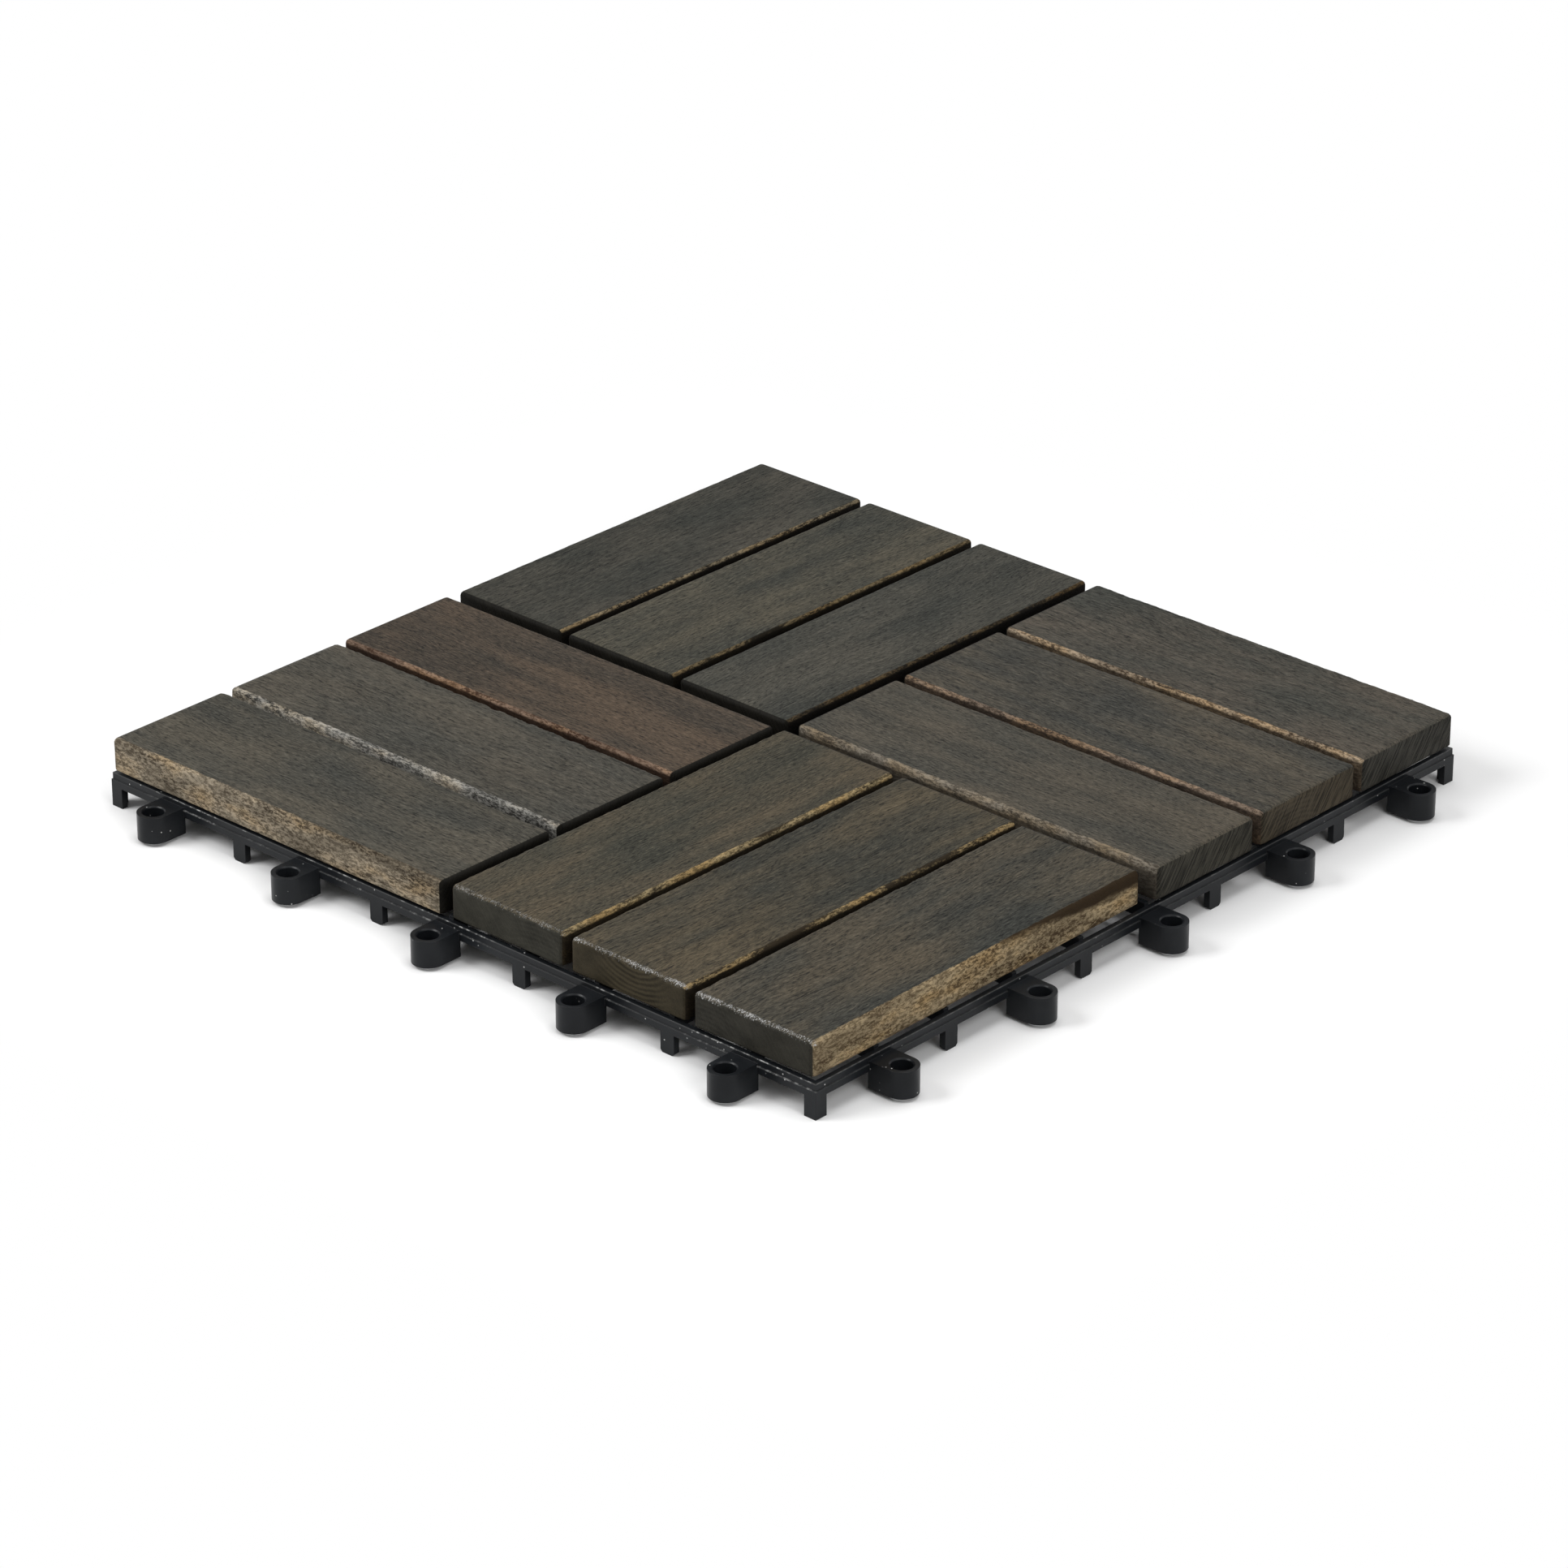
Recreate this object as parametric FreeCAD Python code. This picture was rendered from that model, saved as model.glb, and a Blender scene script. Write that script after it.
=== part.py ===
import FreeCAD, Part
import math
import os

# One interlocking deck tile: twelve hardwood slats laid in a basket weave and
# screwed from below to a moulded plastic base.
# Millimetres, +Z up. The origin is the middle of the tile's square at floor level.
# Loops stand out on the -Y and +X sides, and pegs hang inside the -X and +Y sides,
# so that each tile's pegs drop into the loops of the next ones.

# Slats
slat_length = 147.0
slat_thick = 11.0
slats_per_group = 3
slat_gap = 3.2             # between the slats of one group
cross_gap = 3.8            # between one group and the next
long_bevel = 1.7           # along the upper long edges
under_bevel = 0.9          # along the lower long edges
end_ease = 0.5             # taken off all round both ends

# Base: rim, ribs and legs
rim_margin = 1.1           # from the ends of the slats out to the rim's face
seat_height = 12.5         # from the floor up to the underside of the slats
rim_drop = 1.0             # from the slats' underside down to the top of the rim
rim_bar = 4.6              # height of the bar round the edge
rim_wall = 2.2
rim_lip = 2.3              # height of the bar's upper part, which is set back
rim_step = 0.35            # how far it is set back
rib_depth = 5.0
rib_wall = 2.0
corner_leg = 4.6           # width of each face of the corner legs
rim_leg = 5.4              # width of the legs between them
leg_tip_bevel = 0.8
cross_foot_top = 15.0      # arms of the inner feet, at the ribs
cross_foot_tip = 9.0       # and at the floor

# Joining loops and pegs
loop_pitch = 60.9
loop_reach = 7.75          # from the rim's face out to the middle of the hole
loop_hole_r = 3.4
loop_wall = 1.9            # round the hole
loop_drop = 1.5            # from the top of the rim down to the top of the loop
loop_height = 8.8
loop_root = 0.6            # how far the loop runs into the bar
loop_mouth_bevel = 0.4
peg_clearance = 0.3        # between a peg and the hole of a loop, on the radius
peg_tip_gap = 1.5          # from the end of a peg up from the foot of the loop
peg_tip_bevel = 0.8        # the lead at the end of a peg
notch_clearance = 0.5      # round a loop that sits under the edge of the next tile

# Screws and the bosses that take them
screw_r = 1.6
screw_head_r = 3.0
screw_crown_r = 2.2        # of the flat top of the head
screw_head_height = 2.2
screw_bite = 7.5           # length in the slat
screw_point = 2.0
screw_tip_r = 0.3
screw_inset = 25.0         # least distance of a screw from the end of its slat
screw_hole_clearance = 0.4
pilot_clearance = 0.05
boss_margin = 1.6          # from the rim of a screw's head out to the side of its boss
head_sides = 8             # small round forms that repeat are drawn with this many sides
boss_sides = 10
shank_sides = 6

# Each group lies a little off its nominal place, and one slat is a little turned
group_shift = {"left": (-0.4, -0.6), "front": (-1.1, 0.3), "right": (0.3, 0.8), "back": (0.3, 0.3)}
front_slat_turn = 0.5      # degrees, of the outer front slat about its front corner

# Sizes that follow
slat_width = (slat_length - (slats_per_group - 1) * slat_gap) / slats_per_group
slat_pitch = slat_width + slat_gap
half = cross_gap / 2 + slat_length + rim_margin
rim_top = seat_height - rim_drop
rim_foot = rim_top - rim_bar
rib_foot = seat_height - rib_depth
rib_pitch = loop_pitch / 2
loop_top = rim_top - loop_drop
loop_foot = loop_top - loop_height
loop_r = loop_hole_r + loop_wall
peg_r = loop_hole_r - peg_clearance
boss_r = screw_head_r + boss_margin
notch_reach = loop_r + notch_clearance
notch_ceiling = loop_top + notch_clearance


def box(x0, y0, z0, x1, y1, z1):
    """A block between two corners."""
    return Part.makeBox(x1 - x0, y1 - y0, z1 - z0, FreeCAD.Vector(x0, y0, z0))


def turned(shape, degrees):
    """A copy of a shape turned about the vertical through the origin."""
    copy = shape.copy()
    copy.rotate(FreeCAD.Vector(0, 0, 0), FreeCAD.Vector(0, 0, 1), degrees)
    return copy


def moved(shape, x, y, z=0.0):
    """A copy of a shape moved by x, y and z."""
    copy = shape.copy()
    copy.translate(FreeCAD.Vector(x, y, z))
    return copy


def prism(outline, thickness):
    """An outline of (x, z) points, made thickness deep and centred on y = 0."""
    points = [FreeCAD.Vector(x, -thickness / 2, z) for x, z in outline]
    face = Part.Face(Part.makePolygon(points + points[:1]))
    return face.extrude(FreeCAD.Vector(0, thickness, 0))


def square_ring(outer, inner, z0, z1):
    """A square frame, given by half its outer and inner widths."""
    return box(-outer, -outer, z0, outer, outer, z1).cut(box(-inner, -inner, z0, inner, inner, z1))


def lines_within(limit):
    """The rib lines, as whole numbers of rib pitches, that lie within limit of the middle."""
    last = int(limit // rib_pitch)
    return list(range(-last, last + 1))


rib_lines = lines_within(half - rim_wall - rib_wall - corner_leg)
loop_lines = [k for k in lines_within(half - corner_leg - loop_r) if k % 2 == 0]
leg_lines = [k for k in rib_lines if k % 2 != 0]


def rim():
    """The bar round the edge: a lower part, and an upper part that is set back a little."""
    step_height = rim_top - rim_lip
    lower = square_ring(half, half - rim_wall, rim_foot, step_height)
    upper = square_ring(half - rim_step, half - rim_wall, step_height, rim_top)
    return [lower, upper]


def ribs():
    """The lattice that carries the slats."""
    inside = half - rim_wall
    made = []
    for k in rib_lines:
        place = k * rib_pitch
        rib = box(-inside, place - rib_wall / 2, rib_foot, inside, place + rib_wall / 2, seat_height)
        made += [rib, turned(rib, 90)]
    return made


def leg():
    """One leg under the bar of the -Y side, in the middle of it, with its tip eased."""
    side = rim_leg / 2
    tip = side - leg_tip_bevel
    outline = [(-tip, 0), (tip, 0), (side, leg_tip_bevel), (side, rim_foot)]
    outline += [(-side, rim_foot), (-side, leg_tip_bevel)]
    return moved(prism(outline, rim_wall), 0, -half + rim_wall / 2)


def corner_post():
    """An angle of two walls that stands under one corner of the bar."""
    corner = box(-half, -half, 0, -half + corner_leg, -half + corner_leg, rim_foot)
    hollow = box(-half + rim_wall, -half + rim_wall, 0, half, half, rim_foot)
    return corner.cut(hollow)


def legs():
    """All legs of the rim: angles at the corners, flat ones between."""
    made = []
    for side in range(4):
        made.append(turned(corner_post(), 90 * side))
        for k in leg_lines:
            made.append(turned(moved(leg(), k * rib_pitch, 0), 90 * side))
    return made


def cross_foot():
    """A foot under a crossing of ribs: two arms that narrow towards the floor."""
    top, tip = cross_foot_top / 2, cross_foot_tip / 2
    arm = prism([(-tip, 0), (tip, 0), (top, rib_foot), (-top, rib_foot)], rib_wall)
    return arm.fuse(turned(arm, 90))


def cross_feet(places):
    """Feet under every second crossing, apart from those with a screw beside them."""
    foot = cross_foot()
    room = cross_foot_top / 2 + boss_r
    made = []
    for x in [k * rib_pitch for k in loop_lines]:
        for y in [k * rib_pitch for k in loop_lines]:
            if all(abs(px - x) > room or abs(py - y) > room for px, py in places):
                made.append(moved(foot, x, y))
    return made


def loop():
    """One loop on the -Y side, without its hole: a half circle whose ends run back into the bar."""
    middle = -half - loop_reach
    root = -half + loop_root
    left, right = FreeCAD.Vector(-loop_r, middle, loop_foot), FreeCAD.Vector(loop_r, middle, loop_foot)
    tip = FreeCAD.Vector(0, middle - loop_r, loop_foot)
    back_right, back_left = FreeCAD.Vector(loop_r, root, loop_foot), FreeCAD.Vector(-loop_r, root, loop_foot)
    edges = [Part.Arc(left, tip, right).toShape(), Part.makeLine(right, back_right)]
    edges += [Part.makeLine(back_right, back_left), Part.makeLine(back_left, left)]
    return Part.Face(Part.Wire(edges)).extrude(FreeCAD.Vector(0, 0, loop_height))


def loop_hole():
    """The hole of that loop, with its mouth eased."""
    middle = FreeCAD.Vector(0, -half - loop_reach, loop_foot)
    bore = Part.makeCylinder(loop_hole_r, loop_height, middle)
    mouth = FreeCAD.Vector(0, -half - loop_reach, loop_top - loop_mouth_bevel)
    cone = Part.makeCone(loop_hole_r, loop_hole_r + loop_mouth_bevel, loop_mouth_bevel, mouth)
    return bore.fuse(cone)


def on_sides(shape, degrees_list):
    """Copies of a shape of the -Y side at every loop line, on the sides at these turns."""
    return [turned(moved(shape, k * rib_pitch, 0), turn) for turn in degrees_list for k in loop_lines]


loop_sides = (0, 90)       # -Y and +X
peg_sides = (180, 270)     # +Y and -X


def peg():
    """A peg under the roof of a notch, modelled on the -Y side and turned to where it belongs."""
    middle = -half + loop_reach
    roof = box(-notch_reach, -half + rim_wall, notch_ceiling, notch_reach, middle + notch_reach, seat_height)
    tip_z = loop_foot + peg_tip_gap
    straight_z = tip_z + peg_tip_bevel
    pin = Part.makeCylinder(peg_r, notch_ceiling - straight_z, FreeCAD.Vector(0, middle, straight_z))
    tip = Part.makeCone(peg_r - peg_tip_bevel, peg_r, peg_tip_bevel, FreeCAD.Vector(0, middle, tip_z))
    return roof.fuse([pin, tip])


def notch():
    """The room on the -Y side, turned with the peg, for a loop that comes in from the next tile."""
    return box(-notch_reach, -half, 0, notch_reach, -half + loop_reach + notch_reach, notch_ceiling)


def screw_places():
    """Where the screws stand: on rib lines, on the middle line of each slat, in every group."""
    near = math.ceil((cross_gap / 2 + screw_inset) / rib_pitch)
    far = int((cross_gap / 2 + slat_length - screw_inset) // rib_pitch)
    across = [cross_gap / 2 + slat_width / 2 + i * slat_pitch for i in range(slats_per_group)]
    places = []
    for sx, sy in ((-1, -1), (1, 1)):
        places += [(sx * k * rib_pitch, sy * a) for k in sorted({near, far}) for a in across]
    for sx, sy in ((1, -1), (-1, 1)):
        places += [(sx * a, sy * k * rib_pitch) for k in sorted({near, far}) for a in across]
    return places


def many_sided(sides, levels):
    """An upright solid with this many sides, given by its corner radius at each height."""
    rings = []
    for radius, z in levels:
        turns = [2 * math.pi * i / sides for i in range(sides)]
        rings.append([FreeCAD.Vector(radius * math.cos(t), radius * math.sin(t), z) for t in turns])
    outlines = [rings[0], rings[-1]]
    for low, high in zip(rings, rings[1:]):
        outlines += [[low[i - 1], low[i], high[i], high[i - 1]] for i in range(sides)]
    faces = [Part.Face(Part.makePolygon(outline + outline[:1])) for outline in outlines]
    return Part.Solid(Part.Shell(faces))


def boss():
    """The boss that a screw's head bears on, as deep as the ribs."""
    return many_sided(boss_sides, [(boss_r, rib_foot), (boss_r, seat_height)])


def screw_hole():
    """The hole in a boss."""
    radius = screw_r + screw_hole_clearance
    return many_sided(shank_sides, [(radius, rib_foot), (radius, seat_height)])


def base():
    """The base, moulded in one piece."""
    places = screw_places()
    pieces = rim() + ribs()
    first = pieces[0].multiFuse(pieces[1:]).cut(on_sides(notch(), peg_sides))
    added = legs() + cross_feet(places) + on_sides(loop(), loop_sides) + on_sides(peg(), peg_sides)
    added += [moved(boss(), x, y) for x, y in places]
    whole = first.multiFuse(added)
    holes = on_sides(loop_hole(), loop_sides) + [moved(screw_hole(), x, y) for x, y in places]
    return whole.cut(holes).removeSplitter()


def slat():
    """One slat along X with its middle at the origin and its underside on z = 0."""
    side, top = slat_width / 2, slat_thick
    outline = [(-side, under_bevel), (-side, top - long_bevel), (-side + long_bevel, top)]
    outline += [(side - long_bevel, top), (side, top - long_bevel), (side, under_bevel)]
    outline += [(side - under_bevel, 0), (-side + under_bevel, 0)]
    bar = turned(prism(outline, slat_length), 90)
    ends = []
    for face in bar.Faces:
        if abs(face.normalAt(0, 0).x) > 0.99:
            ends += face.Edges
    return bar.makeChamfer(end_ease, ends)


def pilot_hole(x, y):
    """The hole that a screw has cut in a slat."""
    radius = screw_r + pilot_clearance
    top = seat_height + screw_bite + pilot_clearance
    return moved(many_sided(shank_sides, [(radius, seat_height), (radius, top)]), x, y)


def group_slats(name, sx, sy, runs_along_x):
    """The slats of one group, from the middle of the tile outwards or from the front."""
    shift_x, shift_y = group_shift[name]
    along = cross_gap / 2 + slat_length / 2
    slats = {}
    for i in range(slats_per_group):
        across = cross_gap / 2 + slat_width / 2 + i * slat_pitch
        if runs_along_x:
            x, y, piece = sx * along, sy * across, slat()
        else:
            x, y, piece = sx * across, sy * along, turned(slat(), 90)
        slats[f"slat_{name}_{i + 1}"] = moved(piece, x + shift_x, y + shift_y, seat_height)
    return slats


def turn_front_slat(piece):
    """The outer front slat, turned a little about its outer front corner."""
    box_of = piece.BoundBox
    pivot = FreeCAD.Vector(box_of.XMax, box_of.YMin, 0)
    copy = piece.copy()
    copy.rotate(pivot, FreeCAD.Vector(0, 0, 1), front_slat_turn)
    return copy


def all_slats():
    """Every slat in its place, with the holes of its own screws."""
    slats = group_slats("left", -1, -1, True)
    slats.update(group_slats("front", 1, -1, False))
    slats.update(group_slats("right", 1, 1, True))
    slats.update(group_slats("back", -1, 1, False))
    outer_front = f"slat_front_{slats_per_group}"
    slats[outer_front] = turn_front_slat(slats[outer_front])
    drilled = {}
    for name, piece in slats.items():
        reach = piece.BoundBox
        inside = [(x, y) for x, y in screw_places() if reach.isInside(x, y, seat_height + slat_thick / 2)]
        drilled[name] = piece.cut([pilot_hole(x, y) for x, y in inside])
    return drilled


def screw():
    """A pan-head screw, point up, with its head under the boss."""
    crown = rib_foot - screw_head_height
    tip = seat_height + screw_bite
    head = many_sided(head_sides, [(screw_crown_r, crown), (screw_head_r, rib_foot)])
    shank_levels = [(screw_r, rib_foot), (screw_r, tip - screw_point), (screw_tip_r, tip)]
    return head.fuse(many_sided(shank_sides, shank_levels)).removeSplitter()


def screws():
    """All the screws, as one group of separate solids."""
    one = screw()
    return Part.makeCompound([moved(one, x, y) for x, y in screw_places()])


def main():
    """Build every piece and write one file for each."""
    os.makedirs("parts", exist_ok=True)
    pieces = {"base_grid": base()}
    pieces.update(all_slats())
    pieces["screws"] = screws()
    for name, shape in pieces.items():
        shape.exportStep(f"parts/{name}.step")
        print(name, len(shape.Solids), "solid(s)", round(shape.Volume / 1000, 2), "cm3", shape.isValid())


main()
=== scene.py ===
import bpy, bmesh
from math import radians
from mathutils import Matrix, Vector, noise


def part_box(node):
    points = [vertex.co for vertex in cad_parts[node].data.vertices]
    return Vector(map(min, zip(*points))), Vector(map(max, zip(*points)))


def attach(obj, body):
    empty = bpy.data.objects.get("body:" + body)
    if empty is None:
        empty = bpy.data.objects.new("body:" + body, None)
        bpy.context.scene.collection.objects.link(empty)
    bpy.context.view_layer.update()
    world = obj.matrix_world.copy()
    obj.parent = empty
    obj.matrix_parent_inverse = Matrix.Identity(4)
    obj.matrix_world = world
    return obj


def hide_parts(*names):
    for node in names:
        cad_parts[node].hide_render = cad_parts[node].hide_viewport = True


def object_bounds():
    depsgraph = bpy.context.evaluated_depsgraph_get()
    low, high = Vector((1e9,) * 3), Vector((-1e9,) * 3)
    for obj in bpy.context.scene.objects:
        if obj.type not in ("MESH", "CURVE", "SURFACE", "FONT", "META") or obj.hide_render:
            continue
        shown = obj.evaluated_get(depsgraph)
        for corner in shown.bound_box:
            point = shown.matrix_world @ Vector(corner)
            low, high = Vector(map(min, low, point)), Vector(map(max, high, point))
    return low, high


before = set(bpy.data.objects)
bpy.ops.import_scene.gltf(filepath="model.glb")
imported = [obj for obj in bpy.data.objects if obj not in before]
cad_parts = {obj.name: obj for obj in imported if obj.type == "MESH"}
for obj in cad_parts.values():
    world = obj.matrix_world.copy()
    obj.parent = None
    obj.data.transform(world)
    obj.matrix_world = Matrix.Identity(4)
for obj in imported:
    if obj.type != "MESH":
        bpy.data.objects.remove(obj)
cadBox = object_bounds()
mm = 0.001


# A Wire stands for one output of a shader node, and makes the nodes that follow it
class Wire:
    def __init__(self, tree, socket=None):
        self.tree, self.socket = tree, socket

    def node(self, kind, settings, inputs, out=0):
        made = self.tree.nodes.new(kind)
        for name, value in settings.items():
            setattr(made, name, value)
        for name, value in inputs.items():
            if isinstance(value, Wire):
                self.tree.links.new(value.socket, made.inputs[name])
            else:
                made.inputs[name].default_value = value
        return Wire(self.tree, made.outputs[out] if made.outputs else None)

    def maths(self, operation, *values):
        return self.node("ShaderNodeMath", {"operation": operation}, dict(enumerate(values)))

    def __add__(self, other): return self.maths("ADD", self, other)
    def __radd__(self, other): return self.maths("ADD", other, self)
    def __sub__(self, other): return self.maths("SUBTRACT", self, other)
    def __rsub__(self, other): return self.maths("SUBTRACT", other, self)
    def __mul__(self, other): return self.maths("MULTIPLY", self, other)
    def __rmul__(self, other): return self.maths("MULTIPLY", other, self)
    def __abs__(self): return self.maths("ABSOLUTE", self)

    def larger(self, other):
        return self.maths("MAXIMUM", self, other)

    # What a pattern of 0 to 1 adds or takes away, either side of its middle
    def swing(self, amount):
        return (self - 0.5) * amount

    # 0 below low, 1 above high, smooth between
    def step(self, low, high):
        return self.node("ShaderNodeMapRange", {"interpolation_type": "SMOOTHSTEP"},
                         {"Value": self, "From Min": low, "From Max": high})

    # The first colour where this is 0, the second where it is 1
    def mix(self, first, second):
        return self.node("ShaderNodeMix", {"data_type": "RGBA"}, {0: self, 6: first, 7: second}, 2)

    def times(self, amount):
        return self.node("ShaderNodeMix", {"data_type": "RGBA", "blend_type": "MULTIPLY"},
                         {0: 1.0, 6: self, 7: amount}, 2)

    def parts(self):
        return [self.node("ShaderNodeSeparateXYZ", {}, {"Vector": self}, i) for i in range(3)]

    # Noise from a pattern: its waves per millimetre along X, Y and Z, detail, roughness and shift
    def pattern(self, values, seed=0.0):
        waves, detail, roughness, shift = values
        shift += seed
        place = self.node("ShaderNodeMapping", {"vector_type": "POINT"},
                          {"Vector": self, "Location": (shift, shift * 0.7, shift * 1.3), "Scale": waves})
        return self.node("ShaderNodeTexNoise", {}, {"Vector": place, "Scale": 1.0, "Detail": detail,
                                                    "Roughness": roughness})


# A colour for a socket, darkened or lightened by an amount
def rgb(colour, amount=1.0):
    return (*[channel * amount for channel in colour], 1.0)


def newMaterial(name):
    material = bpy.data.materials.new(name)
    material.use_nodes = True
    tree = material.node_tree
    tree.nodes.clear()
    return material, Wire(tree)


def finishMaterial(maker, inputs):
    shader = maker.node("ShaderNodeBsdfPrincipled", {}, inputs)
    maker.node("ShaderNodeOutputMaterial", {}, {"Surface": shader})


def objectSpace(maker):
    return maker.node("ShaderNodeTexCoord", {}, {}, 3)


# Coordinates in millimetres from a point, turned about the vertical
def localSpace(maker, centre, degrees):
    return maker.node("ShaderNodeMapping", {"vector_type": "TEXTURE"},
                      {"Vector": objectSpace(maker), "Location": centre, "Rotation": (0, 0, radians(degrees)),
                       "Scale": (mm, mm, mm)})


# Shape of every slat, in millimetres, and the turn of one in degrees; the cuts give the wear, fibres and
# warp something to move
slatForm = {
    "bevel": 1.4, "bevelSegments": 3, "underBevel": 0.4, "underSegments": 2,
    "cornerRound": 1.6, "cornerSegments": 4, "frontTurn": 0.5,
    "endRoom": 3.6, "lengthCuts": 170, "levelCuts": (1.4, 3.0, 5.0, 7.0, 8.6),
    "sideCuts": (0.25, 0.8, 2.0, 4.5, 8.0, 12.0, 17.0),
    "wearReach": 3.6, "chips": 0.30, "chipWaves": (0.22, 0.5, 0.5),
    "fibres": 0.20, "fibreWaves": (0.9, 2.2, 2.2), "warp": 0.12, "warpWaves": 0.012,
    "seedShift": (31.7, 17.3, 7.9),
}
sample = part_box("slat_left_1")
slatLength, slatWidth, slatThick = [size / mm for size in sample[1] - sample[0]]

# Looks of each slat. Colours: the stained top and its clouds, the worn edge, the stain left in it, the
# end. How much shows, from 0 to 1 and more: cover and rag of the worn edge, wear of its shape, burnt
# stain on the side, glint of painted highlight specks, rings and saw marks on the end. In millimetres:
# lipAndShade is how far down an edge is worn pale, and how pale the side stays below it, from 0 to 1,
# which paints shade in the gap between slats; band how far the wear reaches onto the top, heart the
# middle of the growth rings, across and up. Far is how pale the long side away from the loops is, where
# a low value paints shade on a side that faces the next slat, and inner tells whether the +X end of a
# slat (1) or the other (-1) looks into the tile
commonLook = {"end": (0.038, 0.034, 0.026), "ring": 0.1, "saw": 0.3, "burnt": 0.0, "glint": 0.0,
              "far": 0.1, "inner": 1}
slatLooks = {
    "slat_left_1": {"top": (0.055, 0.040, 0.028), "cloud": (0.034, 0.029, 0.023),
                    "edge": (0.235, 0.165, 0.120), "edgeDark": (0.034, 0.018, 0.011),
                    "cover": 1.0, "wear": 0.2, "rag": 0.2, "lipAndShade": (1.1, 0.22), "band": 0.3,
                    "heart": (0, 30)},
    "slat_left_2": {"top": (0.051, 0.045, 0.035), "cloud": (0.041, 0.040, 0.034),
                    "edge": (0.350, 0.340, 0.310), "edgeDark": (0.022, 0.021, 0.019),
                    "cover": 1.0, "wear": 1.2, "rag": 1.0, "lipAndShade": (3.0, 0.8), "band": 0.9,
                    "heart": (8, -20), "glint": 0.2},
    "slat_left_3": {"top": (0.053, 0.047, 0.036), "cloud": (0.036, 0.036, 0.031),
                    "edge": (0.340, 0.290, 0.215), "edgeDark": (0.036, 0.027, 0.018),
                    "cover": 1.0, "wear": 0.8, "rag": 0.7, "lipAndShade": (12, 1.0), "band": 0.4,
                    "heart": (0, -24), "burnt": 0.5, "glint": 0.1},
    "slat_front_1": {"top": (0.058, 0.046, 0.030), "cloud": (0.035, 0.034, 0.026),
                     "edge": (0.350, 0.275, 0.150), "edgeDark": (0.028, 0.021, 0.013),
                     "cover": 0.5, "wear": 0.5, "rag": 0.5, "lipAndShade": (1.3, 0.12), "band": 0.1,
                     "heart": (-14, -9), "end": (0.040, 0.038, 0.030), "ring": 0.08, "saw": 0.08,
                     "glint": 0.5},
    "slat_front_2": {"top": (0.055, 0.044, 0.028), "cloud": (0.028, 0.028, 0.023),
                     "edge": (0.330, 0.250, 0.130), "edgeDark": (0.024, 0.018, 0.011),
                     "cover": 0.38, "wear": 0.5, "rag": 0.5, "lipAndShade": (1.0, 0.08), "band": 0.2,
                     "heart": (-2, 15), "end": (0.044, 0.036, 0.022), "ring": 0.34, "saw": 0.04,
                     "burnt": 0.2, "glint": 1.0},
    "slat_front_3": {"top": (0.052, 0.043, 0.030), "cloud": (0.030, 0.031, 0.027),
                     "edge": (0.360, 0.285, 0.175), "edgeDark": (0.042, 0.027, 0.014),
                     "cover": 0.95, "wear": 0.7, "rag": 0.7, "lipAndShade": (12, 1.0), "band": 0.3,
                     "heart": (18, -6), "end": (0.031, 0.029, 0.023), "saw": 0.1,
                     "burnt": 1.0, "glint": 1.0},
    "slat_right_1": {"top": (0.057, 0.049, 0.037), "cloud": (0.039, 0.038, 0.032),
                     "edge": (0.225, 0.200, 0.162), "edgeDark": (0.040, 0.033, 0.025),
                     "cover": 0.9, "wear": 0.7, "rag": 0.7, "lipAndShade": (2.2, 0.45), "band": 0.8,
                     "heart": (6, -26), "end": (0.040, 0.037, 0.029), "ring": 0.06, "saw": 0.9,
                     "inner": -1},
    "slat_right_2": {"top": (0.054, 0.046, 0.034), "cloud": (0.034, 0.034, 0.030),
                     "edge": (0.255, 0.195, 0.148), "edgeDark": (0.036, 0.026, 0.019),
                     "cover": 0.75, "wear": 0.5, "rag": 0.4, "lipAndShade": (0.9, 0.35), "band": 0.4,
                     "heart": (-8, -8), "end": (0.054, 0.044, 0.030), "ring": 0.18, "saw": 0.7,
                     "inner": -1},
    "slat_right_3": {"top": (0.054, 0.046, 0.036), "cloud": (0.034, 0.035, 0.030),
                     "edge": (0.370, 0.295, 0.210), "edgeDark": (0.042, 0.030, 0.020),
                     "cover": 0.85, "wear": 0.5, "rag": 0.4, "lipAndShade": (1.1, 0.4), "band": 0.3,
                     "heart": (10, 32), "end": (0.038, 0.036, 0.030), "ring": 0.06, "saw": 1.0,
                     "far": 0.8, "inner": -1},
    # The back slats' worn edges are given dark colours as painted shade in the gaps between the slats
    "slat_back_1": {"top": (0.044, 0.041, 0.033), "cloud": (0.028, 0.029, 0.025),
                    "edge": (0.080, 0.060, 0.034), "edgeDark": (0.006, 0.005, 0.004),
                    "cover": 0.4, "wear": 0.2, "rag": 0.3, "lipAndShade": (0.8, 0.1), "band": 0.0,
                    "heart": (4, 28), "inner": -1},
    "slat_back_2": {"top": (0.053, 0.047, 0.034), "cloud": (0.030, 0.031, 0.026),
                    "edge": (0.170, 0.130, 0.072), "edgeDark": (0.010, 0.008, 0.005),
                    "cover": 0.6, "wear": 0.2, "rag": 0.3, "lipAndShade": (0.8, 0.1), "band": 0.0,
                    "heart": (-9, -20), "inner": -1},
    "slat_back_3": {"top": (0.038, 0.035, 0.028), "cloud": (0.025, 0.026, 0.022),
                    "edge": (0.240, 0.195, 0.125), "edgeDark": (0.010, 0.008, 0.006),
                    "cover": 0.6, "wear": 0.2, "rag": 0.3, "lipAndShade": (0.8, 0.05), "band": 0.0,
                    "heart": (12, -30), "far": 0.6, "inner": -1},
}

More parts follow.
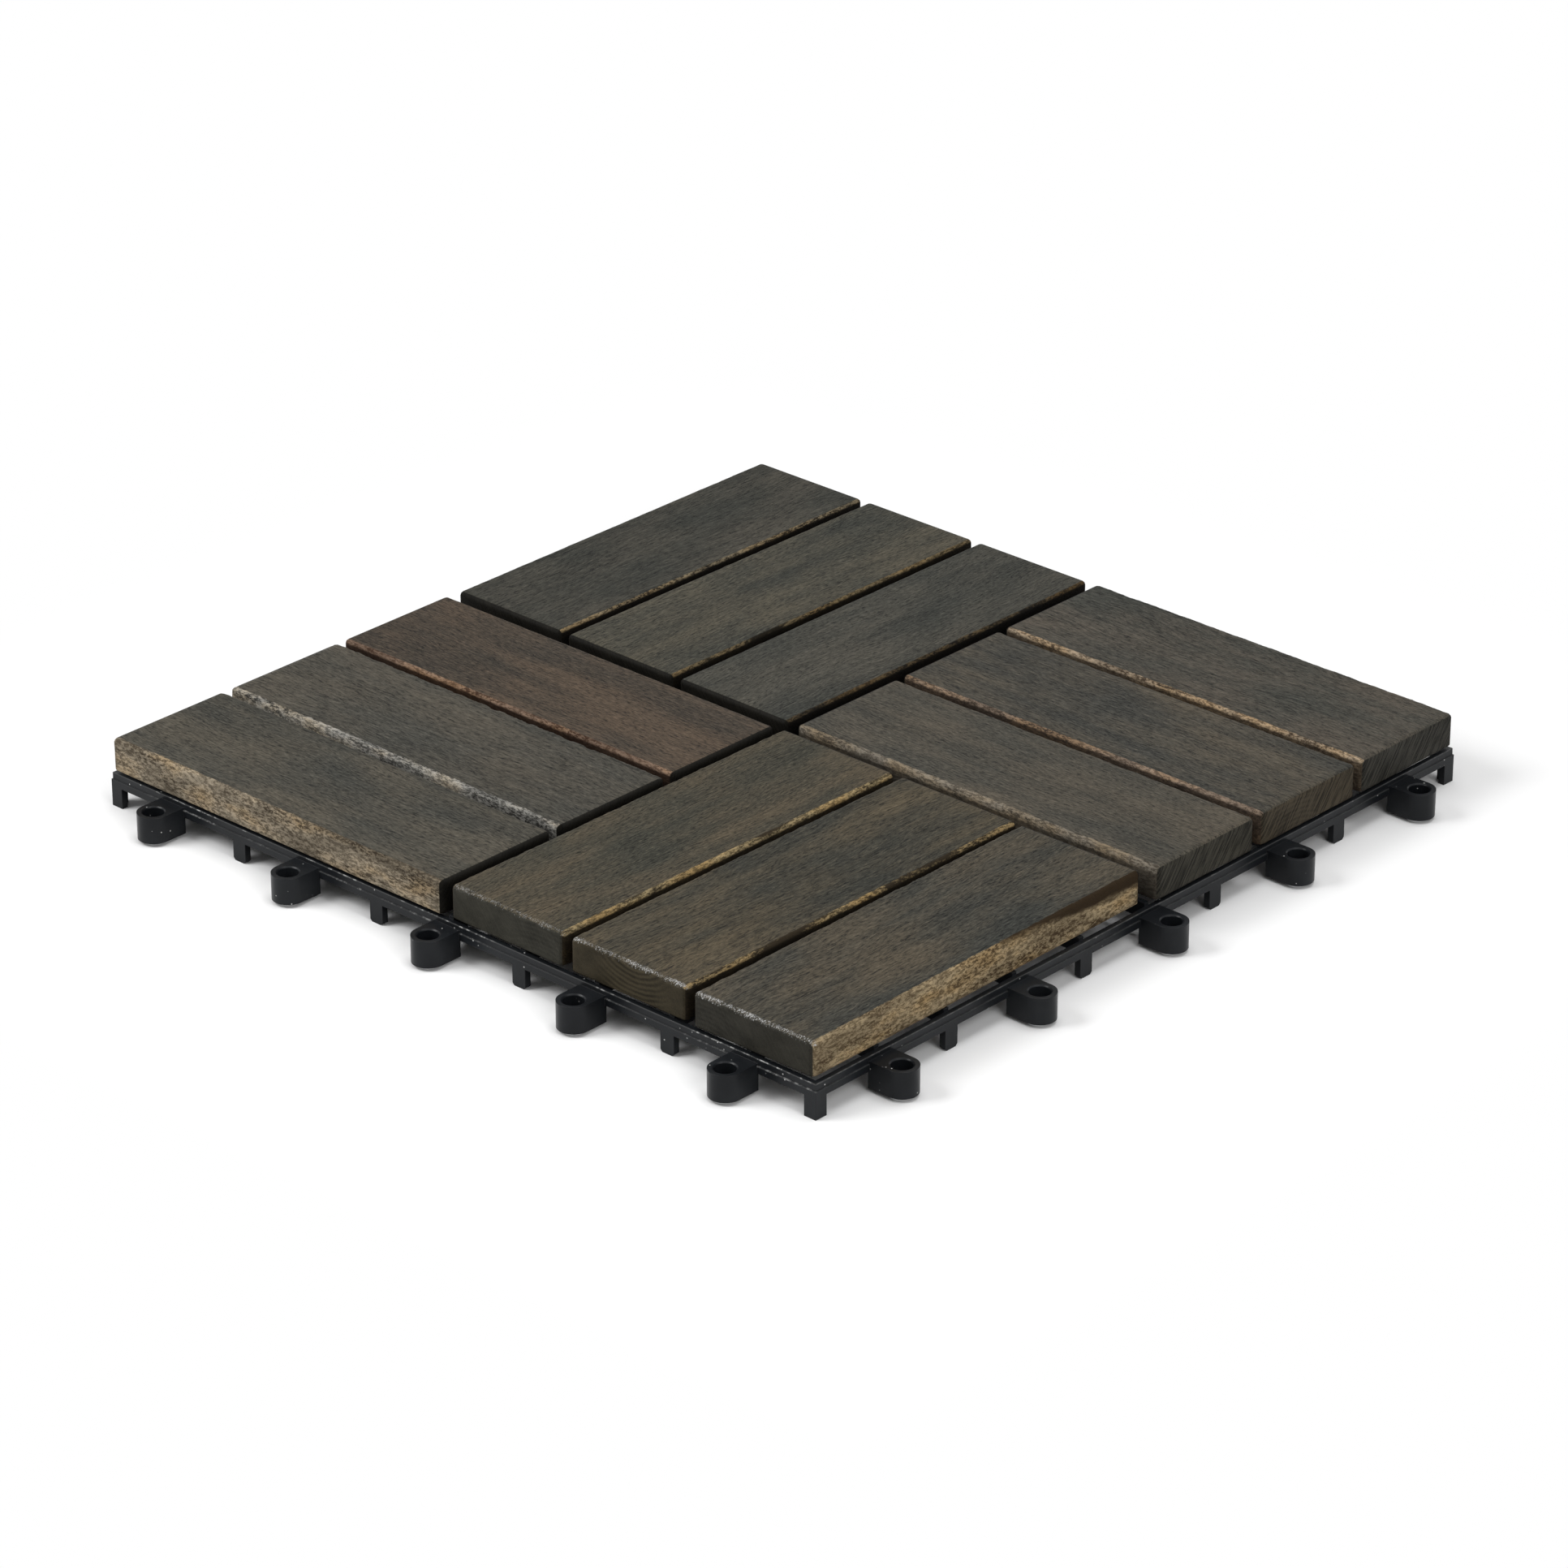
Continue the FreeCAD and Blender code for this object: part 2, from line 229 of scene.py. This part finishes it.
# Finish that all slats share: patterns along, across and up the grain, then how much each one counts,
# the ranges of a pattern over which something comes in, depths in millimetres and turns in degrees;
# halfSoft is how softly one half of a slat passes into the other
wood = {
    "halfSoft": 1.0, "drift": ((0.014, 0.03, 0.03), 2.0, 0.55, 0), "wander": 9.0,
    "fibres": ((0.085, 1.25, 1.25), 5.0, 0.72, 0), "fibreShare": 0.10, "fibreTone": 1.8,
    "flecks": ((0.45, 2.0, 2.0), 3.0, 0.7, 3), "fleckTone": 3.4,
    "bands": ((0.010, 0.11, 0.11), 4.0, 0.6, 5), "bandShare": 0.30, "bandTone": 0.8,
    "clouds": ((0.022, 0.042, 0.042), 3.0, 0.5, 9), "cloudShare": 0.60, "cloudTone": 0.5,
    "figureRange": (0.32, 0.66), "threadFlecks": 0.7, "threadFibres": 0.3,
    "poreRange": (0.45, 0.35), "poreShow": 0.6, "poreShade": 0.25,
    "speckRange": (0.58, 0.72), "speckShow": 0.5, "speckShade": 2.2,
    # Worn edges
    "grit": ((0.50, 1.25, 1.25), 4.0, 0.80, 13), "gritRange": (0.43, 0.58), "gritShare": 0.70,
    "blotch": ((0.045, 0.12, 0.20), 3.0, 0.6, 17), "blotchRange": (0.34, 0.60), "blotchShare": 0.30,
    "patches": ((0.035, 0.10, 0.10), 4.0, 0.6, 23), "patchRange": (0.36, 0.58),
    "patchLeast": 0.50, "patchMore": 0.60, "paleRange": (0.42, 0.66), "warmTint": (0.86, 0.75, 0.60),
    "bareGrit": 0.35, "bareNear": 0.10, "bareCover": 0.42, "bareLevel": 0.92, "bareSoft": 0.07,
    "lipSoft": 0.4, "shadeLeast": 0.3, "shadeMore": 0.7,
    "stainLevel": 0.3, "stainSlope": 0.060, "stainSwing": 6.0, "stainRange": (-0.6, 1.6), "stainShade": 0.55,
    "farBand": 0.2, "ragGrit": 2.6, "ragBlotch": 1.2, "ragFar": 0.25, "ragNear": 0.75,
    "edgeRange": (-0.05, 0.45),
    # Ends
    "ringScale": (1000, 8.0, 5.0), "ringWarp": 1.6, "ringDetail": 3.0, "ringWaves": 1.2,
    "ringZone": (5.0, 17.0), "sawTurn": 36, "sawMarks": ((0.0, 1.5, 0.08), 2.0, 0.6, 0), "sawTone": 3.2,
    "endBlotch": 0.6, "endFlecks": 0.4, "endRange": (0.10, 0.80), "endShade": 0.25,
    "innerShade": 0.75, "endDepth": 0.5, "innerDepth": 0.7, "endSoft": 0.25,
    # Painted highlight: pale specks along the edge of an outer end
    "dashes": ((1.7, 2.3, 0.9), 4.0, 0.8, 29), "dashTone": 0.9, "dashBlotch": 0.2, "dashRim": 0.10,
    "dashRange": (0.64, 0.74), "rimInset": 1.1, "rimRange": (0.2, 1.3), "rimSoft": 0.2,
    "dashDepth": (1.2, 0.9), "paintedGlintColour": (0.34, 0.34, 0.335),
    # Relief and gloss
    "fibreRelief": 0.9, "poreRelief": 0.7, "gritRelief": 3.0, "bump": 0.8, "bumpDepth": 0.16,
    "rough": 0.56, "edgeRough": 0.22, "fleckRough": 0.12, "dashGloss": 0.2, "specular": 0.06,
}


def woodMaterial(name, look, centre, degrees, seed):
    material, maker = newMaterial(name)
    space = localSpace(maker, centre, degrees)
    x, y, z = space.parts()
    soft = wood["halfSoft"]
    drift = space.pattern(wood["drift"], seed)
    wavy = maker.node("ShaderNodeCombineXYZ", {}, {"X": x, "Y": y + drift.swing(wood["wander"]), "Z": z})

    # Stained top: soft brown and grey-green clouds, long fibres, short dark pores and pale flecks
    fibres = wavy.pattern(wood["fibres"], seed)
    flecks = wavy.pattern(wood["flecks"], seed)
    bands = wavy.pattern(wood["bands"], seed)
    clouds = space.pattern(wood["clouds"], seed)
    figure = clouds * wood["cloudShare"] + bands * wood["bandShare"] + fibres * wood["fibreShare"]
    light = 1.0 + fibres.swing(wood["fibreTone"]) + flecks.swing(wood["fleckTone"])
    light = light + bands.swing(wood["bandTone"]) + clouds.swing(wood["cloudTone"])
    threads = flecks * wood["threadFlecks"] + fibres * wood["threadFibres"]
    pores = threads.step(*wood["poreRange"])
    specks = threads.step(*wood["speckRange"])
    top = figure.step(*wood["figureRange"]).mix(rgb(look["cloud"]), rgb(look["top"])).times(light)
    top = (pores * wood["poreShow"]).mix(top, rgb(look["cloud"], wood["poreShade"]))
    top = (specks * wood["speckShow"]).mix(top, rgb(look["top"], wood["speckShade"]))

    # Worn edges and sides: sandy, with the dark stain left in pores, in patches and down from the top;
    # near is the half towards a side with loops, where the wear shows most. Below the worn lip, and on the
    # far side, the side is darkened as painted shade in the gaps between slats
    grit = wavy.pattern(wood["grit"], seed)
    blotch = space.pattern(wood["blotch"], seed)
    patches = space.pattern(wood["patches"], seed)
    near = y.step(soft, -soft)
    bare = patches + grit * wood["bareGrit"] + near * wood["bareNear"] + look["cover"] * wood["bareCover"]
    bare = (bare - wood["bareLevel"]).step(-wood["bareSoft"], wood["bareSoft"])
    # Painted shade: below the pale worn lip, and on the far side, the pale sand fades and the side darkens
    depth, below = look["lipAndShade"]
    lipAndShade = below + (z - slatThick + depth).step(-wood["lipSoft"], wood["lipSoft"]) * (1 - below)
    lipAndShade = near * lipAndShade + (1 - near) * look["far"]
    sand = grit.step(*wood["gritRange"]) * wood["gritShare"]
    sand = (sand + blotch.step(*wood["blotchRange"]) * wood["blotchShare"]) * bare * lipAndShade
    sand = sand * (wood["patchLeast"] + patches.step(*wood["patchRange"]) * wood["patchMore"])
    warm = rgb([channel * tint for channel, tint in zip(look["edge"], wood["warmTint"])])
    pale = patches.step(*wood["paleRange"]).mix(rgb(look["edge"]), warm)
    edge = sand.mix(rgb(look["edgeDark"]), pale).times(wood["shadeLeast"] + wood["shadeMore"] * lipAndShade)
    stain = z - slatThick + wood["stainLevel"] + x * wood["stainSlope"] + blotch.swing(wood["stainSwing"])
    stain = stain.step(*wood["stainRange"]) * look["burnt"]
    edge = stain.mix(edge, rgb(look["edgeDark"], wood["stainShade"]))
    wornBand = slatForm["bevel"] + look["band"]
    inward = slatWidth / 2 - wornBand + (1 - near) * (wornBand - wood["farBand"])
    ragged = grit.swing(wood["ragGrit"]) + blotch.swing(wood["ragBlotch"])
    ragged = ragged * (wood["ragFar"] + near * wood["ragNear"]) * look["rag"]
    edgeMask = (abs(y) - inward + ragged).step(*wood["edgeRange"])

    # Ends: dark, with growth rings and fine slanting saw marks; the end inside the tile is darker still,
    # which is painted shade in the gap there
    heart = maker.node("ShaderNodeMapping", {"vector_type": "TEXTURE"},
                       {"Vector": space, "Location": (0, *look["heart"]), "Scale": wood["ringScale"]})
    rings = maker.node("ShaderNodeTexWave", {"wave_type": "RINGS", "rings_direction": "X"},
                       {"Vector": heart, "Scale": 1.0, "Distortion": wood["ringWarp"],
                        "Detail": wood["ringDetail"], "Detail Scale": wood["ringWaves"]})
    slant = maker.node("ShaderNodeMapping", {"vector_type": "POINT"},
                       {"Vector": space, "Rotation": (radians(wood["sawTurn"]), 0, 0)})
    sawMarks = slant.pattern(wood["sawMarks"])
    ringZone = 1 - abs(y - look["heart"][0]).step(*wood["ringZone"])
    endTone = 0.5 + rings.swing(look["ring"]) * ringZone + sawMarks.swing(look["saw"]) * wood["sawTone"]
    endTone = endTone + blotch.swing(wood["endBlotch"]) + flecks.swing(wood["endFlecks"])
    endColour = endTone.step(*wood["endRange"]).mix(rgb(look["end"], wood["endShade"]), rgb(look["end"]))
    # Painted shade: the inner end, which looks into the gap, is darkened, and the dark reaches further onto
    # its rounded top edge
    innerEnd = (x * look["inner"]).step(-soft, soft)
    endColour = endColour.times(1 - wood["innerShade"] * innerEnd)
    endMask = abs(x) - (slatLength / 2 - wood["endDepth"]) + innerEnd * wood["innerDepth"]
    endMask = endMask.step(0.0, wood["endSoft"])

    # Painted highlight: pale specks, thick where the top turns down to an outer end and thinner further in
    rimLine = 1 - abs(abs(x) - (slatLength / 2 - wood["rimInset"])).step(*wood["rimRange"])
    dashes = space.pattern(wood["dashes"], seed)
    glint = dashes * wood["dashTone"] + blotch * wood["dashBlotch"] + rimLine * wood["dashRim"]
    glint = glint.step(*wood["dashRange"]) * rimLine.step(0.0, wood["rimSoft"])
    glint = glint * z.step(*[slatThick - depth for depth in wood["dashDepth"]])
    glint = glint * x.step(soft, -soft) * look["glint"]

    colour = glint.mix(endMask.mix(edgeMask.mix(top, edge), endColour), rgb(wood["paintedGlintColour"]))
    height = fibres * wood["fibreRelief"] - pores * wood["poreRelief"]
    height = height + edgeMask * grit * wood["gritRelief"] + endMask * sawMarks * look["saw"]
    normal = maker.node("ShaderNodeBump", {}, {"Strength": wood["bump"], "Distance": wood["bumpDepth"] * mm,
                                               "Height": height})
    roughness = wood["rough"] + edgeMask * wood["edgeRough"] + flecks * wood["fleckRough"]
    roughness = roughness - glint * wood["dashGloss"]
    finishMaterial(maker, {"Base Color": colour, "Roughness": roughness,
                           "Specular IOR Level": wood["specular"], "Normal": normal})
    return material


# One plain slat in millimetres, along X, on z = 0, with rounded edges and cut finely enough to wear
def plainSlat():
    bm = bmesh.new()
    bmesh.ops.create_cube(bm, size=1.0)
    bmesh.ops.scale(bm, vec=(slatLength, slatWidth, slatThick), verts=bm.verts)
    bmesh.ops.translate(bm, vec=(0, 0, slatThick / 2), verts=bm.verts)

    def bevelEdges(test, offset, segments):
        edges = []
        for e in bm.edges:
            start, end = e.verts[0].co, e.verts[1].co
            if test((start + end) / 2, end - start):
                edges.append(e)
        bmesh.ops.bevel(bm, geom=edges, offset=offset, segments=segments, profile=0.5,
                        affect="EDGES", material=-1)

    def cut(place, direction):
        bmesh.ops.bisect_plane(bm, geom=bm.verts[:] + bm.edges[:] + bm.faces[:], dist=1e-6,
                               plane_co=place, plane_no=direction)

    close = 0.01
    bevelEdges(lambda middle, run: abs(run.z) > close, slatForm["cornerRound"], slatForm["cornerSegments"])
    bevelEdges(lambda middle, run: middle.z > slatThick - close, slatForm["bevel"], slatForm["bevelSegments"])
    bevelEdges(lambda middle, run: middle.z < close, slatForm["underBevel"], slatForm["underSegments"])
    for end in (1, -1):
        cut((end * (slatLength / 2 - slatForm["endRoom"]), 0, 0), (1, 0, 0))
    for side in (1, -1):
        for inward in slatForm["sideCuts"]:
            cut((0, side * (slatWidth / 2 - slatForm["bevel"] - inward), 0), (0, 1, 0))
    for level in slatForm["levelCuts"]:
        cut((0, 0, level), (0, 0, 1))
    longEdges = [e for e in bm.edges if abs(e.verts[1].co.x - e.verts[0].co.x) > slatLength / 2]
    bmesh.ops.subdivide_edges(bm, edges=longEdges, cuts=slatForm["lengthCuts"], use_grid_fill=True)
    return bm


# Smooth noise at a point of a slat, with its waves per millimetre, shifted for each slat
def unevenness(point, waves, shift):
    return noise.noise(Vector([part * wave for part, wave in zip(point, waves)]) + shift)


# Small irregularities of one slat: worn long edges, fibres and a slight warp
def wearSlat(bm, look, seed):
    shift = Vector([seed * part for part in slatForm["seedShift"]])
    for vert in bm.verts:
        p = vert.co
        outward = 1.0 if p.y > 0 else -1.0
        fromEdge = Vector((0, slatWidth / 2 - abs(p.y), slatThick - p.z)).length
        wear = max(0.0, 1.0 - fromEdge / slatForm["wearReach"]) * look["wear"]
        chips = unevenness(p, slatForm["chipWaves"], shift)
        fibres = unevenness(p, slatForm["fibreWaves"], shift)
        depth = wear * (slatForm["chips"] * chips + slatForm["fibres"] * fibres)
        bow = slatForm["warp"] * unevenness(p, (slatForm["warpWaves"], 0, 0), shift)
        vert.co += Vector((0, -outward * depth + bow, -depth))


def makeSlat(template, name, look, degrees, seed):
    low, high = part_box(name)
    centre = Vector(((low.x + high.x) / 2, (low.y + high.y) / 2, low.z))
    bm = template.copy()
    wearSlat(bm, look, seed)
    bmesh.ops.transform(bm, matrix=Matrix.Translation(centre) @ Matrix.Rotation(radians(degrees), 4, "Z")
                        @ Matrix.Scale(mm, 4), verts=bm.verts)
    bmesh.ops.recalc_face_normals(bm, faces=bm.faces)
    mesh = bpy.data.meshes.new(name + "_wood")
    bm.to_mesh(mesh)
    bm.free()
    mesh.shade_smooth()
    piece = bpy.data.objects.new(name + "_wood", mesh)
    bpy.context.scene.collection.objects.link(piece)
    mesh.materials.append(woodMaterial(name + "_finish", look, centre, degrees, seed))
    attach(piece, "root")
    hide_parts(name)
    name.rsplit("_", 1)[0] + "_wood"


template = plainSlat()
for seed, (name, look) in enumerate(slatLooks.items()):
    degrees = 0 if "left" in name or "right" in name else 90
    if name == "slat_front_3":
        degrees += slatForm["frontTurn"]
    makeSlat(template, name, {**commonLook, **look}, degrees, seed + 1.0)
template.free()
print("slats made")


# Moulded plastic of the base, with dust and painted highlights, broken pale lines along the edges of the
# rim; patterns, ranges and millimetres as for the wood
plastic = {
    "colour": (0.0054, 0.0062, 0.0074), "lighter": (0.0095, 0.0108, 0.0125),
    "mottle": ((0.05, 0.05, 0.05), 4.0, 0.6, 0), "mottleRange": (0.35, 0.65),
    "grain": ((2.4, 2.4, 2.4), 3.0, 0.6, 0), "flow": ((0.25, 0.25, 0.9), 3.0, 0.5, 0),
    "dust": (0.45, 0.45, 0.44), "dustCells": 0.42, "dustSize": (0.06, 0.12),
    "dustPlaces": ((0.11, 0.11, 0.11), 2.0, 0.5, 4), "placeRange": (0.54, 0.60),
    # Painted highlight lines along the rim's top edge and its step, with broken glints gathered in places
    "rimInside": (0.75, 0.45), "rimOutside": (0.1, 0.2), "rimTop": 11.5, "topRange": (-0.40, -0.12),
    "rimStep": 9.2, "stepRange": (0.10, 0.30), "stepShow": 0.4, "line": 0.09, "glintShow": 0.8,
    "dashes": ((0.45, 0.45, 0.45), 3.0, 0.7, 8), "dashRange": (0.46, 0.66),
    "gathered": ((0.035, 0.035, 0.035), 2.0, 0.5, 11), "gatherRange": (0.38, 0.50),
    "calmSides": 0.12, "glintMore": 0.88, "cornerSoft": 2.0,
    "edgeRound": 0.25, "bump": 0.25, "bumpDepth": 0.05, "grainRelief": 0.6, "flowRelief": 1.4,
    "rough": 0.30, "mottleRough": 0.18, "grainRough": 0.06, "dustRough": 0.4, "specular": 0.16,
}


def plasticMaterial():
    material, maker = newMaterial("base_moulding")
    space = localSpace(maker, (0, 0, 0), 0)
    x, y, z = space.parts()
    mottle = space.pattern(plastic["mottle"])
    grain = space.pattern(plastic["grain"])
    flow = space.pattern(plastic["flow"])
    cells = maker.node("ShaderNodeTexVoronoi", {"feature": "F1"},
                       {"Vector": space, "Scale": plastic["dustCells"]})
    places = space.pattern(plastic["dustPlaces"]).step(*plastic["placeRange"])
    dust = (1 - cells.step(*plastic["dustSize"])) * places

    # Painted highlight: pale lines where the rim's outer face meets its top and its step, with more broken
    # glints on the two sides along X
    half = -cadBox[0].x / mm
    reach = abs(x).larger(abs(y))
    outer = reach.step(*[half - inside for inside in plastic["rimInside"]])
    outer = outer * (1 - reach.step(*[half + beyond for beyond in plastic["rimOutside"]]))
    lines = (z - plastic["rimTop"]).step(*plastic["topRange"])
    lines = lines + plastic["stepShow"] * (1 - abs(z - plastic["rimStep"]).step(*plastic["stepRange"]))
    dashes = space.pattern(plastic["dashes"]).step(*plastic["dashRange"])
    gathered = space.pattern(plastic["gathered"]).step(*plastic["gatherRange"])
    glintSides = (abs(y) - abs(x)).step(-plastic["cornerSoft"], plastic["cornerSoft"])
    glintSides = plastic["calmSides"] + plastic["glintMore"] * glintSides
    glint = outer * lines * (plastic["line"] + dashes * gathered * glintSides)

    colour = mottle.step(*plastic["mottleRange"]).mix(rgb(plastic["colour"]), rgb(plastic["lighter"]))
    # The dust colour paints both the real dust and the highlight lines along the rim
    colour = (dust + glint * plastic["glintShow"]).mix(colour, rgb(plastic["dust"]))
    rounded = maker.node("ShaderNodeBevel", {"samples": 4}, {"Radius": plastic["edgeRound"] * mm})
    height = grain * plastic["grainRelief"] + flow * plastic["flowRelief"]
    normal = maker.node("ShaderNodeBump", {}, {"Strength": plastic["bump"], "Height": height,
                                               "Distance": plastic["bumpDepth"] * mm, "Normal": rounded})
    roughness = plastic["rough"] + mottle.swing(plastic["mottleRough"]) + grain * plastic["grainRough"]
    roughness = roughness + dust * plastic["dustRough"]
    finishMaterial(maker, {"Base Color": colour, "Roughness": roughness,
                           "Specular IOR Level": plastic["specular"], "Normal": normal})
    return material


# Zinc of the screws
steel = {"dark": (0.42, 0.42, 0.40), "pale": (0.60, 0.60, 0.58), "mottle": ((0.9, 0.9, 0.9), 4.0, 0.6, 0),
         "mottleRange": (0.3, 0.7), "bump": 0.2, "bumpDepth": 0.04, "rough": 0.28, "mottleRough": 0.2}


def steelMaterial():
    material, maker = newMaterial("screw_zinc")
    mottle = localSpace(maker, (0, 0, 0), 0).pattern(steel["mottle"])
    colour = mottle.step(*steel["mottleRange"]).mix(rgb(steel["dark"]), rgb(steel["pale"]))
    normal = maker.node("ShaderNodeBump", {}, {"Strength": steel["bump"], "Height": mottle,
                                               "Distance": steel["bumpDepth"] * mm})
    roughness = steel["rough"] + mottle * steel["mottleRough"]
    finishMaterial(maker, {"Base Color": colour, "Roughness": roughness, "Metallic": 1.0, "Normal": normal})
    return material


def dress(node, material):
    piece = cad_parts[node]
    piece.data.materials.clear()
    piece.data.materials.append(material)


dress("base_grid", plasticMaterial())
dress("screws", steelMaterial())
print("base and screws dressed")


# Floor and background, in metres: the floor turns white for the camera between two distances
stageLook = {"floor": (0.80, 0.80, 0.80), "floorSize": 40.0, "whiteFrom": 0.17, "whiteBy": 0.28,
             "white": (1, 1, 1), "skyLight": 0.38}


# 1 for the rays that may see the plain white background
def seesWhite(maker):
    camera, glossy, through = [maker.node("ShaderNodeLightPath", {}, {}, out)
                               for out in ("Is Camera Ray", "Is Glossy Ray", "Is Transmission Ray")]
    return (camera + glossy + through).step(0.0, 1.0)


def floorMaterial():
    material, maker = newMaterial("floor_paint")
    x, y = objectSpace(maker).parts()[:2]
    far = abs(x).larger(abs(y)).step(stageLook["whiteFrom"], stageLook["whiteBy"]) * seesWhite(maker)
    paint = maker.node("ShaderNodeBsdfDiffuse", {}, {"Color": rgb(stageLook["floor"])})
    white = maker.node("ShaderNodeEmission", {}, {"Color": rgb(stageLook["white"]), "Strength": 1.0})
    both = maker.node("ShaderNodeMixShader", {}, {0: far, 1: paint, 2: white})
    maker.node("ShaderNodeOutputMaterial", {}, {"Surface": both})
    return material


bm = bmesh.new()
bmesh.ops.create_grid(bm, x_segments=1, y_segments=1, size=stageLook["floorSize"] / 2)
floorMesh = bpy.data.meshes.new("floor")
bm.to_mesh(floorMesh)
bm.free()
floorMesh.materials.append(floorMaterial())
floor = bpy.data.objects.new("floor", floorMesh)
bpy.context.scene.collection.objects.link(floor)

world = bpy.data.worlds.new("studio")
bpy.context.scene.world = world
world.use_nodes = True
world.node_tree.nodes.clear()
sky = Wire(world.node_tree)
plain, white = [sky.node("ShaderNodeBackground", {}, {"Color": rgb(stageLook["white"]), "Strength": strength})
                for strength in (stageLook["skyLight"], 1.0)]
both = sky.node("ShaderNodeMixShader", {}, {0: seesWhite(sky), 1: plain, 2: white})
sky.node("ShaderNodeOutputWorld", {}, {"Surface": both})

# Soft square lamps that look at the middle of the tile
lamps = {
    "key": {"from": (-0.75, -1.05, 1.15), "size": 0.8, "watts": 20},
    "fill": {"from": (1.35, -0.35, 0.9), "size": 0.9, "watts": 10},
    "top": {"from": (0.15, 0.1, 1.6), "size": 1.0, "watts": 12},
}
for name, lamp in lamps.items():
    light = bpy.data.lights.new(name, "AREA")
    light.shape, light.size, light.energy = "SQUARE", lamp["size"], lamp["watts"]
    holder = bpy.data.objects.new(name, light)
    holder.location = lamp["from"]
    holder.rotation_euler = (-Vector(lamp["from"])).to_track_quat("-Z", "Y").to_euler()
    bpy.context.scene.collection.objects.link(holder)

# Camera, turned as for the photograph, in metres, degrees and millimetres of lens and sensor
view = {"place": (1.18904, -1.29099, 0.86592), "tilt": 63.82, "turn": 42.66, "lens": 142.0,
        "sensor": 36.0, "seesTo": 200.0}
lens = bpy.data.cameras.new("view")
lens.lens, lens.sensor_width, lens.clip_end = view["lens"], view["sensor"], view["seesTo"]
camera = bpy.data.objects.new("view", lens)
camera.location = view["place"]
camera.rotation_euler = (radians(view["tilt"]), 0, radians(view["turn"]))
bpy.context.scene.collection.objects.link(camera)
bpy.context.scene.camera = camera
bpy.context.scene.view_settings.view_transform = "Standard"
print("stage, lamps and camera set")
